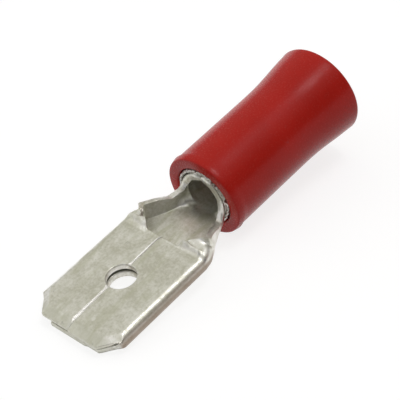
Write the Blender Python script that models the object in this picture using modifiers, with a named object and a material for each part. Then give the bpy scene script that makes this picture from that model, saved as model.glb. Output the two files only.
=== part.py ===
# Insulated male spade terminal: one folded sheet-metal terminal, a metal support
# sleeve round its barrel, and a moulded insulating sleeve over both.
# Lengths are in metres; MM turns the millimetre figures below into metres.
import math
import bpy
import bmesh
from mathutils import Matrix
from mathutils import Vector

MM = 0.001

# Driving dimensions. Positions along the part count from the insulating sleeve's front
# face, with the tab towards -X.
TAB_WIDTH = 6.3 * MM
TAB_THICKNESS = 1.0 * MM
TAB_LENGTH = 7.5 * MM
TAB_TOP_Z = -0.23 * MM
SHEET = 0.40 * MM
HOLE_FROM_TIP = 4.24 * MM
HOLE_R = 0.91 * MM
NECK_LENGTH = 3.6 * MM
WALL_HEIGHT = 0.80 * MM
BARREL_R = 1.56 * MM
BARREL_LENGTH = 6.0 * MM
SUPPORT_WALL = 0.27 * MM
SUPPORT_SETBACK = 0.36 * MM
SLEEVE_LENGTH = 10.6 * MM
SLEEVE_WALL = 0.71 * MM
SLEEVE_FLARE = 0.32 * MM
REAR_WALL = 0.72 * MM
CLEARANCE = 0.03 * MM
SEAM_GAP = 0.05 * MM
SEAM_TIP_Y = -0.03 * MM
SEAM_REAR_Y = 0.20 * MM

# Derived sizes shared by the pieces
FLAP_REAR_X = -NECK_LENGTH
TIP_X = FLAP_REAR_X - TAB_LENGTH
HOLE_X = TIP_X + HOLE_FROM_TIP
HALF = TAB_WIDTH / 2
MID_R = BARREL_R - SHEET / 2
FOLD_R = (TAB_THICKNESS - SHEET) / 2
FLOOR_Z = TAB_TOP_Z - TAB_THICKNESS + SHEET / 2
SPLIT_Z = TAB_TOP_Z - TAB_THICKNESS / 2
UNDER_Z = TAB_TOP_Z - TAB_THICKNESS
FOLD_WIDTH = HALF - SHEET / 2
FLAT = FOLD_WIDTH - FOLD_R
SUPPORT_IN = BARREL_R + CLEARANCE
SUPPORT_R = SUPPORT_IN + SUPPORT_WALL
BORE_R = SUPPORT_R + CLEARANCE
SLEEVE_FRONT_R = BORE_R + SLEEVE_WALL
SLEEVE_REAR_R = SLEEVE_FRONT_R + SLEEVE_FLARE
FLOOR_SEGMENTS = 4
FOLD_SEGMENTS = 14
FLAP_SEGMENTS = 6

# How far cutting solids reach past what they cut
BIG = 4.0 * MM
SPARE = 0.5 * MM


# Scene and collections
for old in list(bpy.data.objects):
    bpy.data.objects.remove(old, do_unlink=True)

scene = bpy.context.scene
part_group = bpy.data.collections.new("insulated_spade_terminal")
cutter_group = bpy.data.collections.new("cutters")
scene.collection.children.link(part_group)
scene.collection.children.link(cutter_group)


def material(name, colour, metallic, roughness):
    mat = bpy.data.materials.new(name)
    mat.use_nodes = True
    shader = mat.node_tree.nodes["Principled BSDF"]
    shader.inputs["Base Color"].default_value = (*colour, 1.0)
    shader.inputs["Metallic"].default_value = metallic
    shader.inputs["Roughness"].default_value = roughness
    return mat


def add_object(name, bm, group, mat=None):
    mesh = bpy.data.meshes.new(name)
    bmesh.ops.recalc_face_normals(bm, faces=bm.faces)
    bm.to_mesh(mesh)
    bm.free()
    obj = bpy.data.objects.new(name, mesh)
    group.objects.link(obj)
    if mat is not None:
        obj.data.materials.append(mat)
    for face in obj.data.polygons:
        face.use_smooth = mat is not None
    return obj


def cutter(name, bm):
    obj = add_object(name, bm, cutter_group)
    obj.hide_render = True
    obj.display_type = "WIRE"
    return obj


def prism(name, outline, low, high):
    # Upright prism over a plan outline, between two heights
    bm = bmesh.new()
    bottom = [bm.verts.new((x, y, low)) for x, y in outline]
    face = bm.faces.new(bottom)
    moved = bmesh.ops.extrude_face_region(bm, geom=[face])
    rise = Vector((0.0, 0.0, high - low))
    bmesh.ops.translate(bm, verts=[v for v in moved["geom"] if isinstance(v, bmesh.types.BMVert)], vec=rise)
    return cutter(name, bm)


def block(name, corners):
    # Six-sided solid from eight corners, lower four then upper four
    bm = bmesh.new()
    verts = [bm.verts.new(corner) for corner in corners]
    for face in ((0, 1, 2, 3), (4, 5, 6, 7), (0, 1, 5, 4), (1, 2, 6, 5), (2, 3, 7, 6), (3, 0, 4, 7)):
        bm.faces.new([verts[i] for i in face])
    return cutter(name, bm)


def cut(target, tool):
    mod = target.modifiers.new("cut_" + tool.name, "BOOLEAN")
    mod.operation = "DIFFERENCE"
    mod.solver = "EXACT"
    mod.object = tool


def turned(name, profile, steps, mat, group):
    # Solid of revolution about the long axis from (position, radius) pairs
    bm = bmesh.new()
    verts = [bm.verts.new((radius, 0.0, -along)) for along, radius in profile]
    for a, b in zip(verts, verts[1:] + verts[:1]):
        bm.edges.new((a, b))
    obj = add_object(name, bm, group, mat)
    screw = obj.modifiers.new("turn", "SCREW")
    screw.axis = "Z"
    screw.angle = math.radians(360.0)
    screw.steps = steps
    screw.render_steps = steps
    screw.use_merge_vertices = True
    screw.merge_threshold = 0.000001
    screw.use_smooth_shade = True
    # The profile runs down -Z, so turning by 90 degrees about Y lays it along +X
    obj.matrix_world = Matrix.Rotation(math.radians(-90.0), 4, "Y")
    return obj


def arc(cx, cr, r, a0, a1, n):
    # Quarter rounding points in the profile plane
    out = []
    for i in range(n + 1):
        a = math.radians(a0 + (a1 - a0) * i / n)
        out.append((cx + r * math.cos(a), cr + r * math.sin(a)))
    return out


# Sheet sections. A row describes half of the sheet's middle line at one place: height
# at the bottom, then length and turn in degrees of the floor, of the bend and of the
# wall.
def seam_y(x):
    t = (x - TIP_X) / (FLAP_REAR_X - TIP_X)
    t = min(max(t, 0.0), 1.0)
    return SEAM_TIP_Y + (SEAM_REAR_Y - SEAM_TIP_Y) * t


def fold(radius, angle):
    return radius * math.radians(angle)


# The neck, from the flaps' rear edge to the barrel's mouth. Each entry gives the share
# of the way, the share of the hem's width left over the barrel's, the share of the drop
# from tab floor to barrel, floor turn, bend radius over the hem's, bend turn, wall turn,
# the share of the flap beyond the bend, and the share of the wall height on the left and
# on the right.
REAR_BAND = 0.12 * MM
NOTCH_HALF = 1.20 * MM
STATION_GAP = 0.01 * MM
REAR_END_X = FLAP_REAR_X + REAR_BAND
NECK_FRONT_X = REAR_END_X + STATION_GAP
MOUTH_FRONT_X = -0.02 * MM
MOUTH_X = 0.08 * MM
NECK_SHAPE = [
    (0.000, 1.000, 0.00, 0.0, 1.00, 180.0, 0.0, 1.000, 0.000, 0.000),
    (0.078, 0.985, 0.00, 0.0, 1.22, 180.0, 0.0, 0.834, 0.000, 0.000),
    (0.107, 0.975, 0.00, 0.0, 1.23, 180.0, 0.0, 0.793, 0.000, 0.000),
    (0.159, 0.940, 0.00, 0.0, 1.23, 178.0, 0.0, 0.683, 0.000, 0.000),
    (0.212, 0.875, 0.00, 0.0, 1.23, 172.0, 0.0, 0.250, 0.500, 0.450),
    (0.258, 0.815, 0.00, 0.0, 1.20, 149.0, 0.0, 0.000, 0.850, 0.760),
    (0.301, 0.761, 0.00, 0.0, 1.20, 112.0, 0.0, 0.000, 1.060, 0.930),
    (0.339, 0.698, 0.00, 0.0, 1.20, 100.0, 0.0, 0.000, 1.150, 0.990),
    (0.542, 0.428, 0.06, 0.0, 1.10, 98.0, 0.0, 0.000, 1.090, 0.680),
    (0.701, 0.245, 0.18, 0.0, 1.03, 96.0, 2.0, 0.000, 0.950, 0.340),
    (0.800, 0.160, 0.35, 5.0, 1.12, 90.0, 4.0, 0.000, 0.980, 0.300),
    (0.890, 0.082, 0.58, 12.0, 1.27, 80.0, 8.0, 0.000, 1.100, 0.620),
]
RIGHT_LEAN = 7.0
LEAN_FROM = 0.30
LEFT_LEAD = 0.25 * MM
LEAD_UNTIL = 0.55
NECK_STEPS = 36
MOUTH_STEPS = 6
MOUTH_TURNS = (34.0, 49.0, 27.0)
SEAM_TURN = 180.0 - math.degrees(SEAM_GAP / 2 / MID_R)


def neck_row(entry):
    share, width, drop, floor_turn, bend, turn, wall_turn, flap, left, right = entry
    x = NECK_FRONT_X + (MOUTH_FRONT_X - NECK_FRONT_X) * share
    reach = MID_R + (FOLD_WIDTH - MID_R) * width
    radius = FOLD_R * bend
    tilt = math.radians(floor_turn)
    floor = (reach - radius * (1 - math.sin(tilt))) / math.cos(tilt / 2)
    height = FLOOR_Z + (-MID_R - FLOOR_Z) * drop
    beyond = (FLAT - NOTCH_HALF) * flap
    lean = RIGHT_LEAN if share > LEAN_FROM else 0.0
    walls = [beyond + WALL_HEIGHT * left, beyond + WALL_HEIGHT * right]
    return [x, height, floor, floor_turn, fold(radius, turn), turn, wall_turn, lean] + walls


def round_row(x, turns):
    first, second, third = turns
    lengths = [fold(MID_R, turn) for turn in turns]
    return [x, -MID_R, lengths[0], first, lengths[1], second, third, 0.0, lengths[2], lengths[2]]


NECK_TABLE = [neck_row(entry) for entry in NECK_SHAPE] + [round_row(MOUTH_FRONT_X, MOUTH_TURNS)]


def slopes(xs, ys):
    # Monotone slopes for a smooth curve through the table
    d = [(ys[i + 1] - ys[i]) / (xs[i + 1] - xs[i]) for i in range(len(xs) - 1)]
    m = [d[0]]
    for a, b in zip(d, d[1:]):
        m.append(0.0 if a * b <= 0 else 2 * a * b / (a + b))
    m.append(d[-1])
    return m


def smooth_row(x):
    # Table row at any place along the neck
    xs = [row[0] for row in NECK_TABLE]
    i = 0
    while i < len(xs) - 2 and x > xs[i + 1]:
        i += 1
    h = xs[i + 1] - xs[i]
    t = (x - xs[i]) / h
    out = []
    for col in range(1, 10):
        ys = [row[col] for row in NECK_TABLE]
        m = slopes(xs, ys)
        a = ys[i] * (2 * t ** 3 - 3 * t ** 2 + 1) + ys[i + 1] * (3 * t ** 2 - 2 * t ** 3)
        b = m[i] * h * (t ** 3 - 2 * t ** 2 + t) + m[i + 1] * h * (t ** 3 - t ** 2)
        out.append(a + b)
    return out


def half_section(row, side, wall):
    # Outer and inner points of one half of the sheet, from bottom centre to free edge
    height, floor, floor_turn, bend, bend_turn, wall_turn, lean = row[:7]
    if side < 0:
        bend_turn -= lean
    parts = ((floor, floor_turn, FLOOR_SEGMENTS), (bend, bend_turn, FOLD_SEGMENTS), (wall, wall_turn, FLAP_SEGMENTS))
    y = 0.0
    z = height
    angle = 0.0
    line = [(y, z, angle)]
    for length, turn, count in parts:
        step = math.radians(turn) / count
        chord = length / count
        if abs(step) > 1e-9:
            chord = chord * math.sin(step / 2) / (step / 2)
        for _ in range(count):
            angle += step / 2
            y += chord * math.cos(angle)
            z += chord * math.sin(angle)
            angle += step / 2
            line.append((y, z, angle))
    half = SHEET / 2
    outer = [(side * (y + half * math.sin(a)), z - half * math.cos(a)) for y, z, a in line]
    inner = [(side * (y - half * math.sin(a)), z + half * math.cos(a)) for y, z, a in line]
    return outer, inner


def section(x, left_row, right_row, left, right):
    # Closed outline of the sheet at one place: outer points, then inner points
    outer_l, inner_l = half_section(left_row, 1.0, left)
    outer_r, inner_r = half_section(right_row, -1.0, right)
    outer = outer_l[::-1] + outer_r[1:]
    inner = inner_l[::-1] + inner_r[1:]
    return [(x, y, z) for y, z in outer], [(x, y, z) for y, z in inner]


def neck_section(x):
    # The left wall rises a little nearer to the tab than the right one
    right_row = smooth_row(x)
    share = (x - NECK_FRONT_X) / (MOUTH_FRONT_X - NECK_FRONT_X)
    lead = LEFT_LEAD * min(share / 0.1, 1.0) * max(0.0, 1.0 - share / LEAD_UNTIL)
    left_row = [right_row[0]] + smooth_row(x + lead)[1:]
    return section(x, left_row, right_row, left_row[7], right_row[8])


def sheet_stations():
    rows = []
    hem = NECK_TABLE[0][1:]
    for x in (TIP_X - SPARE, HOLE_X, FLAP_REAR_X, REAR_END_X):
        seam = seam_y(x)
        rows.append(section(x, hem, hem, FLAT - seam - SEAM_GAP / 2, FLAT + seam - SEAM_GAP / 2))
    for i in range(NECK_STEPS + 1):
        rows.append(neck_section(NECK_FRONT_X + (MOUTH_FRONT_X - NECK_FRONT_X) * i / NECK_STEPS))
    total = sum(MOUTH_TURNS)
    for i in range(1, MOUTH_STEPS + 1):
        t = i / MOUTH_STEPS
        x = MOUTH_FRONT_X + (MOUTH_X - MOUTH_FRONT_X) * t
        scale = (total + (SEAM_TURN - total) * t) / total
        row = round_row(x, [turn * scale for turn in MOUTH_TURNS])[1:]
        rows.append(section(x, row, row, row[7], row[8]))
    rows.append(section(BARREL_LENGTH, row, row, row[7], row[8]))
    return rows


def build_terminal(mat):
    bm = bmesh.new()
    grid = []
    for outer, inner in sheet_stations():
        grid.append([[bm.verts.new(p) for p in line] for line in (outer, inner)])
    for (a_out, a_in), (b_out, b_in) in zip(grid, grid[1:]):
        for i in range(len(a_out) - 1):
            bm.faces.new((a_out[i], b_out[i], b_out[i + 1], a_out[i + 1]))
            bm.faces.new((a_in[i], a_in[i + 1], b_in[i + 1], b_in[i]))
        for i in (0, -1):
            bm.faces.new((a_out[i], a_in[i], b_in[i], b_out[i]))
    for out, inn in (grid[0], grid[-1]):
        for i in range(len(out) - 1):
            bm.faces.new((out[i], out[i + 1], inn[i + 1], inn[i]))
    return add_object("blade_terminal", bm, part_group, mat)


tin = material("tinned_brass", (0.50, 0.50, 0.42), 1.0, 0.34)
tin_ring = material("tinned_support", (0.46, 0.45, 0.38), 1.0, 0.42)
red = material("red_vinyl", (0.36, 0.022, 0.014), 0.0, 0.46)

terminal = build_terminal(tin)

# Round detent hole through both layers
bm = bmesh.new()
bmesh.ops.create_cone(bm, cap_ends=True, segments=40, radius1=HOLE_R, radius2=HOLE_R, depth=BIG)
bmesh.ops.translate(bm, verts=bm.verts, vec=Vector((HOLE_X, 0.0, SPLIT_Z)))
cut(terminal, cutter("hole_tool", bm))

# Tip outlines: the flaps are cut from the upper layer only, the floor from the lower.
# A corner is given by its length along the tab and its depth across it.
LEFT_CORNER = (1.40 * MM, 1.15 * MM)
RIGHT_CORNER = (1.28 * MM, 1.00 * MM)
FLOOR_CORNER = (1.36 * MM, 1.10 * MM)
FLAP_STEP = 0.05 * MM
TONGUE_SETBACK = 0.03 * MM
TONGUE_LEFT_INSET = 0.52 * MM
TONGUE_RIGHT_INSET = 0.97 * MM
TONGUE_LEFT_RUN = 0.12 * MM
TONGUE_RIGHT_RUN = 0.14 * MM
LEFT_SETBACK = 0.35 * MM
RIGHT_SETBACK = 0.10 * MM
OUT = 0.8 * MM


def chamfer_ends(front, side, corner):
    # Front end and far end of a corner cut on one side of the tip
    run, rise = corner
    inner = (front, side * (HALF - rise))
    outer = (front + run * (1 + OUT / rise), side * (HALF + OUT))
    return inner, outer


def ahead_of(line):
    # Plan area ahead of a tip line that runs from left to right
    return [(TIP_X - BIG, HALF + OUT)] + line + [(TIP_X - BIG, -HALF - OUT)]


left_in, left_out = chamfer_ends(TIP_X, 1.0, LEFT_CORNER)
right_in, right_out = chamfer_ends(TIP_X - FLAP_STEP, -1.0, RIGHT_CORNER)
line = [left_out, left_in, (TIP_X, SEAM_TIP_Y), (TIP_X - FLAP_STEP, SEAM_TIP_Y), right_in, right_out]
cut(terminal, prism("tip_flap_tool", ahead_of(line), SPLIT_Z, SPLIT_Z + BIG))

low_left_x = TIP_X + LEFT_SETBACK
low_right_x = TIP_X + RIGHT_SETBACK
tongue_x = TIP_X + TONGUE_SETBACK
tongue_left = HALF - LEFT_CORNER[1] - TONGUE_LEFT_INSET
tongue_right = FLOOR_CORNER[1] + TONGUE_RIGHT_INSET - HALF
low_left_in, low_left_out = chamfer_ends(low_left_x, 1.0, LEFT_CORNER)
low_right_in, low_right_out = chamfer_ends(low_right_x, -1.0, FLOOR_CORNER)
line = [low_left_out, low_left_in, (low_left_x, tongue_left + TONGUE_LEFT_RUN), (tongue_x, tongue_left)]
line += [(tongue_x, tongue_right), (low_right_x, tongue_right - TONGUE_RIGHT_RUN), low_right_in, low_right_out]
cut(terminal, prism("tip_floor_tool", ahead_of(line), SPLIT_Z - BIG, SPLIT_Z))

# Coined slopes at the tip, on the upper face along the front and both corners
COIN_LENGTH = 0.55 * MM
COIN_DROP = 0.13 * MM


def slope_tool(name, start, along, length, drop, face_z, up):
    # Wedge over an edge line: its sloping face meets the sheet's face `length` in from
    # the line and lies `drop` below the face at the line
    ax, ay = along
    ix, iy = -ay, ax
    if ix < 0:
        ix, iy = ay, -ax
    rate = drop / length
    lower = []
    for run, inward in ((-BIG, -SPARE), (-BIG, length + SPARE), (BIG, length + SPARE), (BIG, -SPARE)):
        x = start[0] + ax * run + ix * inward
        y = start[1] + ay * run + iy * inward
        lower.append((x, y, face_z - up * rate * (length - inward)))
    upper = [(x, y, face_z + up * SPARE) for x, y, _ in lower]
    return block(name, lower + upper)


tools = [slope_tool("coin_front_tool", (TIP_X, 0.0), (0.0, 1.0), COIN_LENGTH, COIN_DROP, TAB_TOP_Z, 1)]
tools.append(slope_tool("coin_under_tool", (TIP_X, 0.0), (0.0, 1.0), COIN_LENGTH, COIN_DROP, UNDER_Z, -1))
for tool in tools:
    cut(terminal, tool)

# Tapering groove along the seam between the two flaps
GROOVE_TIP = 0.20 * MM
GROOVE_REAR = 0.08 * MM
GROOVE_DEPTH = 0.20 * MM
GROOVE_LIP = 0.03 * MM
ends = []
for x, width in ((TIP_X - SPARE, GROOVE_TIP), (FLAP_REAR_X + SPARE, GROOVE_REAR)):
    y = seam_y(x)
    low = TAB_TOP_Z - GROOVE_DEPTH
    high = TAB_TOP_Z + SPARE
    wide = y + SEAM_GAP / 2 + width * (1 + SPARE / GROOVE_DEPTH)
    ends.append(((x, y - GROOVE_LIP, low), (x, y + SEAM_GAP / 2, low), (x, wide, high), (x, y - GROOVE_LIP, high)))
cut(terminal, block("seam_tool", list(ends[0]) + list(ends[1])))

# Sloped rear edge of the flaps between their raised outer parts
REAR_INSET = 0.05 * MM
REAR_SPARE = 0.10 * MM
rear = []
for y in (-NOTCH_HALF + REAR_INSET, NOTCH_HALF - REAR_INSET):
    high = TAB_TOP_Z + REAR_SPARE
    low = TAB_TOP_Z - REAR_BAND - REAR_SPARE
    far_x = REAR_END_X + REAR_SPARE
    rear.append(((FLAP_REAR_X - REAR_SPARE, y, high), (far_x, y, low), (far_x, y, high)))
bm = bmesh.new()
rings = [[bm.verts.new(corner) for corner in ring] for ring in rear]
bm.faces.new(rings[0])
bm.faces.new(rings[1])
for i in range(3):
    j = (i + 1) % 3
    bm.faces.new((rings[0][i], rings[0][j], rings[1][j], rings[1][i]))
cut(terminal, cutter("rear_edge_tool", bm))

# Narrow slits that part each flap from the neck wall behind it
SLIT_SETBACK = 0.27 * MM
SLIT_WIDTH = 0.08 * MM
SLIT_EDGE = 0.33 * MM
SLIT_INSET = 0.20 * MM
slit_x = NECK_FRONT_X + SLIT_SETBACK
slit_outer = FOLD_WIDTH - SLIT_EDGE
for name, side in (("slit_left_tool", 1.0), ("slit_right_tool", -1.0)):
    outline = [(slit_x, side * (NOTCH_HALF - SLIT_INSET)), (slit_x + SLIT_WIDTH, side * (NOTCH_HALF - SLIT_INSET))]
    outline += [(slit_x + SLIT_WIDTH, side * slit_outer), (slit_x, side * slit_outer)]
    cut(terminal, prism(name, outline, SPLIT_Z, SPLIT_Z + BIG))

shade = terminal.modifiers.new("shading", "WEIGHTED_NORMAL")
shade.weight = 100
shade.thresh = 0.001

# Support sleeve round the barrel
RING_FRONT = 0.04 * MM
RING_EDGE = 0.05 * MM
ring_end = BARREL_LENGTH - SUPPORT_SETBACK
ring_profile = [(RING_FRONT, SUPPORT_R - RING_EDGE), (RING_FRONT + RING_EDGE, SUPPORT_R)]
ring_profile += [(ring_end, SUPPORT_R), (ring_end, SUPPORT_IN)]
ring_profile += [(RING_FRONT + RING_EDGE, SUPPORT_IN), (RING_FRONT, SUPPORT_IN + RING_EDGE)]
ring = turned("support_sleeve", ring_profile, 64, tin_ring, part_group)

# Insulating sleeve: straight front, flared rear, and a bore that steps out behind the
# barrel and widens to the wire entry
ROUND_FRONT = 0.09 * MM
ROUND_REAR = 0.16 * MM
BORE_STEP = 0.25 * MM
BORE_RAMP = 1.3 * MM
BORE_TAPER = 0.12 * MM
ENTRY_CHAMFER = 0.22 * MM
FRONT_CHAMFER = 0.10 * MM
FLARE_START = ((0.20, 0.0), (0.40, 0.0), (0.55, 0.01), (0.64, 0.03), (0.70, 0.09))
FLARE_SHARES = FLARE_START + ((0.76, 0.23), (0.82, 0.43), (0.88, 0.65), (0.94, 0.83))
rear_bore = SLEEVE_REAR_R - REAR_WALL
step_x = BARREL_LENGTH + BORE_STEP
outer = arc(ROUND_FRONT, SLEEVE_FRONT_R - ROUND_FRONT, ROUND_FRONT, 180.0, 90.0, 5)
for share, part in FLARE_SHARES:
    outer.append((share * SLEEVE_LENGTH, SLEEVE_FRONT_R + SLEEVE_FLARE * part))
outer += arc(SLEEVE_LENGTH - ROUND_REAR, SLEEVE_REAR_R - ROUND_REAR, ROUND_REAR, 90.0, 0.0, 5)
inner = [(SLEEVE_LENGTH, rear_bore + ENTRY_CHAMFER), (SLEEVE_LENGTH - ENTRY_CHAMFER, rear_bore)]
inner += [(step_x + BORE_RAMP, rear_bore - BORE_TAPER), (step_x, BORE_R)]
inner += [(FRONT_CHAMFER, BORE_R), (0.0, BORE_R + FRONT_CHAMFER)]
sleeve = turned("insulating_sleeve", outer + inner, 72, red, part_group)

# Resting pose: the part lies on the tab's under face near its tip and on the sleeve's
# front rim
rest_front = (TIP_X + COIN_LENGTH, UNDER_Z)
rest_rear = (ROUND_FRONT * 0.87, -SLEEVE_FRONT_R + ROUND_FRONT * 0.01)
TILT = math.atan2(rest_front[1] - rest_rear[1], rest_rear[0] - rest_front[0])
pose = bpy.data.objects.new("resting_pose", None)
part_group.objects.link(pose)
pose.matrix_world = Matrix.Rotation(-TILT, 4, "Y")
for obj in list(part_group.objects) + list(cutter_group.objects):
    if obj is not pose:
        local = obj.matrix_world.copy()
        obj.parent = pose
        obj.matrix_parent_inverse = Matrix.Identity(4)
        obj.matrix_basis = local
bpy.context.view_layer.update()

# Stand the part on the floor with its box centred on the origin
graph = bpy.context.evaluated_depsgraph_get()
corners = []
for obj in (terminal, ring, sleeve):
    shown = obj.evaluated_get(graph)
    mesh = shown.to_mesh()
    corners += [shown.matrix_world @ v.co for v in mesh.vertices]
    shown.to_mesh_clear()
mid = [(min(c[i] for c in corners) + max(c[i] for c in corners)) / 2 for i in range(3)]
floor = min(c[2] for c in corners)
pose.matrix_world = Matrix.Translation((-mid[0], -mid[1], -floor)) @ pose.matrix_world
bpy.context.view_layer.update()
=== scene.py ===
import math
from collections import namedtuple
import bpy
import bmesh
from mathutils import Euler, Matrix, Vector, noise
from mathutils.geometry import delaunay_2d_cdt


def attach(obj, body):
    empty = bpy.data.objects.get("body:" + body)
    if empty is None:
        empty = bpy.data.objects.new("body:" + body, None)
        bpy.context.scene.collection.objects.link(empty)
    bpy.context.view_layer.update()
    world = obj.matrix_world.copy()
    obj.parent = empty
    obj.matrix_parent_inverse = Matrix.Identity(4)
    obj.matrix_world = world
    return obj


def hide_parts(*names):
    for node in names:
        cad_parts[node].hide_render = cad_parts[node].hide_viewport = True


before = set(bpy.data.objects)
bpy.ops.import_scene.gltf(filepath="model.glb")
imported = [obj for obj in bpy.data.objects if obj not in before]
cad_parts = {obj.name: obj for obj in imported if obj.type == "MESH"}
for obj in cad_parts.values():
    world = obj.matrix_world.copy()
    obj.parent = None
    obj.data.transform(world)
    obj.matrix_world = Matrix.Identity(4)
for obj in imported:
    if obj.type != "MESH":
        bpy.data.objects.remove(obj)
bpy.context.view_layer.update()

# Looks of an insulated male spade terminal: a folded tin sheet, a torn metal ring and a red sleeve

scene = bpy.context.scene
MM = 0.001

# Sizes, in metres, as in the part's source, apart from a smaller hole and a narrower seam gap
TAB_WIDTH = 6.3 * MM
TAB_THICKNESS = 1.0 * MM
TAB_TOP_Z = -0.23 * MM
SHEET = 0.40 * MM
TIP_X = -11.1 * MM
FLAP_REAR_X = -3.6 * MM
HOLE_X = -6.86 * MM
HOLE_R = 0.88 * MM
WALL_HEIGHT = 0.80 * MM
BARREL_R = 1.56 * MM
BARREL_LENGTH = 6.0 * MM
SLEEVE_LENGTH = 10.6 * MM
SUPPORT_IN = 1.59 * MM
SUPPORT_R = 1.86 * MM
SUPPORT_END = 5.64 * MM
BORE_R = 1.89 * MM
SLEEVE_FRONT_R = 2.60 * MM
SLEEVE_REAR_R = 2.92 * MM
REAR_BORE_R = 2.20 * MM
SEAM_GAP = 0.014 * MM
SEAM_TIP_Y = -0.03 * MM
SEAM_REAR_Y = 0.20 * MM
HALF = TAB_WIDTH / 2
MID_R = BARREL_R - SHEET / 2
FOLD_R = (TAB_THICKNESS - SHEET) / 2
FLOOR_Z = TAB_TOP_Z - TAB_THICKNESS + SHEET / 2
UNDER_Z = TAB_TOP_Z - TAB_THICKNESS
FOLD_WIDTH = HALF - SHEET / 2
FLAT = FOLD_WIDTH - FOLD_R

# Resting pose, from the part's own axes to the row frame: tipped about Y, then moved
REST_TIP = math.radians(7.340211)
REST_MOVE = Vector((0.0727 * MM, 0.0, 2.5678 * MM))
POSE = Matrix.Translation(REST_MOVE) @ Matrix.Rotation(-REST_TIP, 4, "Y")


# Node helpers
def new_material(name):
    mat = bpy.data.materials.new(name)
    mat.use_nodes = True
    nt = mat.node_tree
    return mat, nt, nt.nodes["Principled BSDF"]


def node(nt, kind, **values):
    n = nt.nodes.new(kind)
    for key, value in values.items():
        setattr(n, key, value)
    return n


def link(nt, a, b):
    nt.links.new(a, b)


def object_mm(nt, stretch=(1.0, 1.0, 1.0)):
    # Object coordinates in millimetres, stretched along the axes
    coord = node(nt, "ShaderNodeTexCoord")
    mapping = node(nt, "ShaderNodeMapping")
    mapping.inputs["Scale"].default_value = [1000.0 * s for s in stretch]
    link(nt, coord.outputs["Object"], mapping.inputs["Vector"])
    return mapping.outputs["Vector"]


def noise_tex(nt, vec, scale, detail, rough, distort=0.0):
    n = node(nt, "ShaderNodeTexNoise")
    n.inputs["Scale"].default_value = scale
    n.inputs["Detail"].default_value = detail
    n.inputs["Roughness"].default_value = rough
    n.inputs["Distortion"].default_value = distort
    link(nt, vec, n.inputs["Vector"])
    return n.outputs["Fac"]


def remap(nt, value, start, end, low=0.0, high=1.0, interpolation="LINEAR"):
    n = node(nt, "ShaderNodeMapRange", interpolation_type=interpolation)
    for i, v in enumerate((start, end, low, high)):
        n.inputs[i + 1].default_value = v
    link(nt, value, n.inputs["Value"])
    return n.outputs["Result"]


def ease(nt, value, start, end, high=1.0):
    # Smooth rise from nothing at the start to the high value at the end
    return remap(nt, value, start, end, 0.0, high, "SMOOTHSTEP")


def mix_colour(nt, fac, a, b):
    n = node(nt, "ShaderNodeMix", data_type="RGBA")
    link(nt, fac, n.inputs["Factor"])
    for socket, value in ((n.inputs[6], a), (n.inputs[7], b)):
        if isinstance(value, tuple):
            socket.default_value = (*value, 1.0)
        else:
            link(nt, value, socket)
    return n.outputs[2]


def maths(nt, op, a, b):
    n = node(nt, "ShaderNodeMath", operation=op)
    for i, v in enumerate((a, b)):
        if isinstance(v, float):
            n.inputs[i].default_value = v
        else:
            link(nt, v, n.inputs[i])
    return n.outputs[0]


def weighted(nt, *terms):
    # Sum of (value, weight) pairs
    total = None
    for value, weight in terms:
        term = maths(nt, "MULTIPLY", value, weight)
        total = term if total is None else maths(nt, "ADD", total, term)
    return total


def near(nt, value, centre, outer, inner):
    # One within the inner distance of a centre, and nothing past the outer one
    away = maths(nt, "ABSOLUTE", maths(nt, "SUBTRACT", value, centre), 0.0)
    return ease(nt, away, outer, inner)


def bump(nt, height, strength, distance, before=None):
    n = node(nt, "ShaderNodeBump")
    n.inputs["Strength"].default_value = strength
    n.inputs["Distance"].default_value = distance
    link(nt, height, n.inputs["Height"])
    if before is not None:
        link(nt, before, n.inputs["Normal"])
    return n.outputs["Normal"]


def background_rays(nt):
    # One for the rays that see the white background: camera, glossy and transmission, all in full
    path = node(nt, "ShaderNodeLightPath")
    seen = maths(nt, "ADD", path.outputs["Is Camera Ray"], path.outputs["Is Glossy Ray"])
    return maths(nt, "MINIMUM", maths(nt, "ADD", seen, path.outputs["Is Transmission Ray"]), 1.0)


# Painted brown reflection low on the folds, and darker tin at the tip, with places in millimetres in the row
# frame
ROLLING = (0.15, 1.0, 1.0)
REST_SLOPE = 0.1288
# Height of the folds' middle above the row frame's floor at x = 0
FOLD_MIDDLE = 1.859
PAINTED_BROWN_START = FOLD_MIDDLE + 0.32
PAINTED_BROWN_FULL = FOLD_MIDDLE + 0.06
PAINTED_BROWN_SIDE_START = 2.70
PAINTED_BROWN_SIDE_FULL = 3.00
PAINTED_BROWN_SHARE = 0.85
PAINTED_BROWN_REFLECTION = (0.30, 0.225, 0.170)
# Darker, duller tin over the tip's last millimetre
TIP_DARK_START = -10.10
TIP_DARK_FULL = -10.50
TIP_DARK_SHARE = 0.65
TIP_DARK_TIN = (0.60, 0.60, 0.50)
PIT_SHARE = 0.45
PIT_DARKNESS = 0.4


def painted_brown_and_dark_tip(nt, vec, colour):
    # Painted brown reflection on the folds' lower outer sides, and darker, duller tin over the tip
    place = node(nt, "ShaderNodeSeparateXYZ")
    link(nt, vec, place.inputs[0])
    out_y = maths(nt, "ABSOLUTE", place.outputs["Y"], 0.0)
    slope = maths(nt, "MULTIPLY", place.outputs["X"], REST_SLOPE)
    height = maths(nt, "SUBTRACT", place.outputs["Z"], slope)
    low = ease(nt, height, PAINTED_BROWN_START, PAINTED_BROWN_FULL)
    outside = ease(nt, out_y, PAINTED_BROWN_SIDE_START, PAINTED_BROWN_SIDE_FULL, PAINTED_BROWN_SHARE)
    colour = mix_colour(nt, maths(nt, "MULTIPLY", low, outside), colour, PAINTED_BROWN_REFLECTION)
    tip = ease(nt, place.outputs["X"], TIP_DARK_START, TIP_DARK_FULL, TIP_DARK_SHARE)
    return mix_colour(nt, tip, colour, TIP_DARK_TIN)


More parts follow.
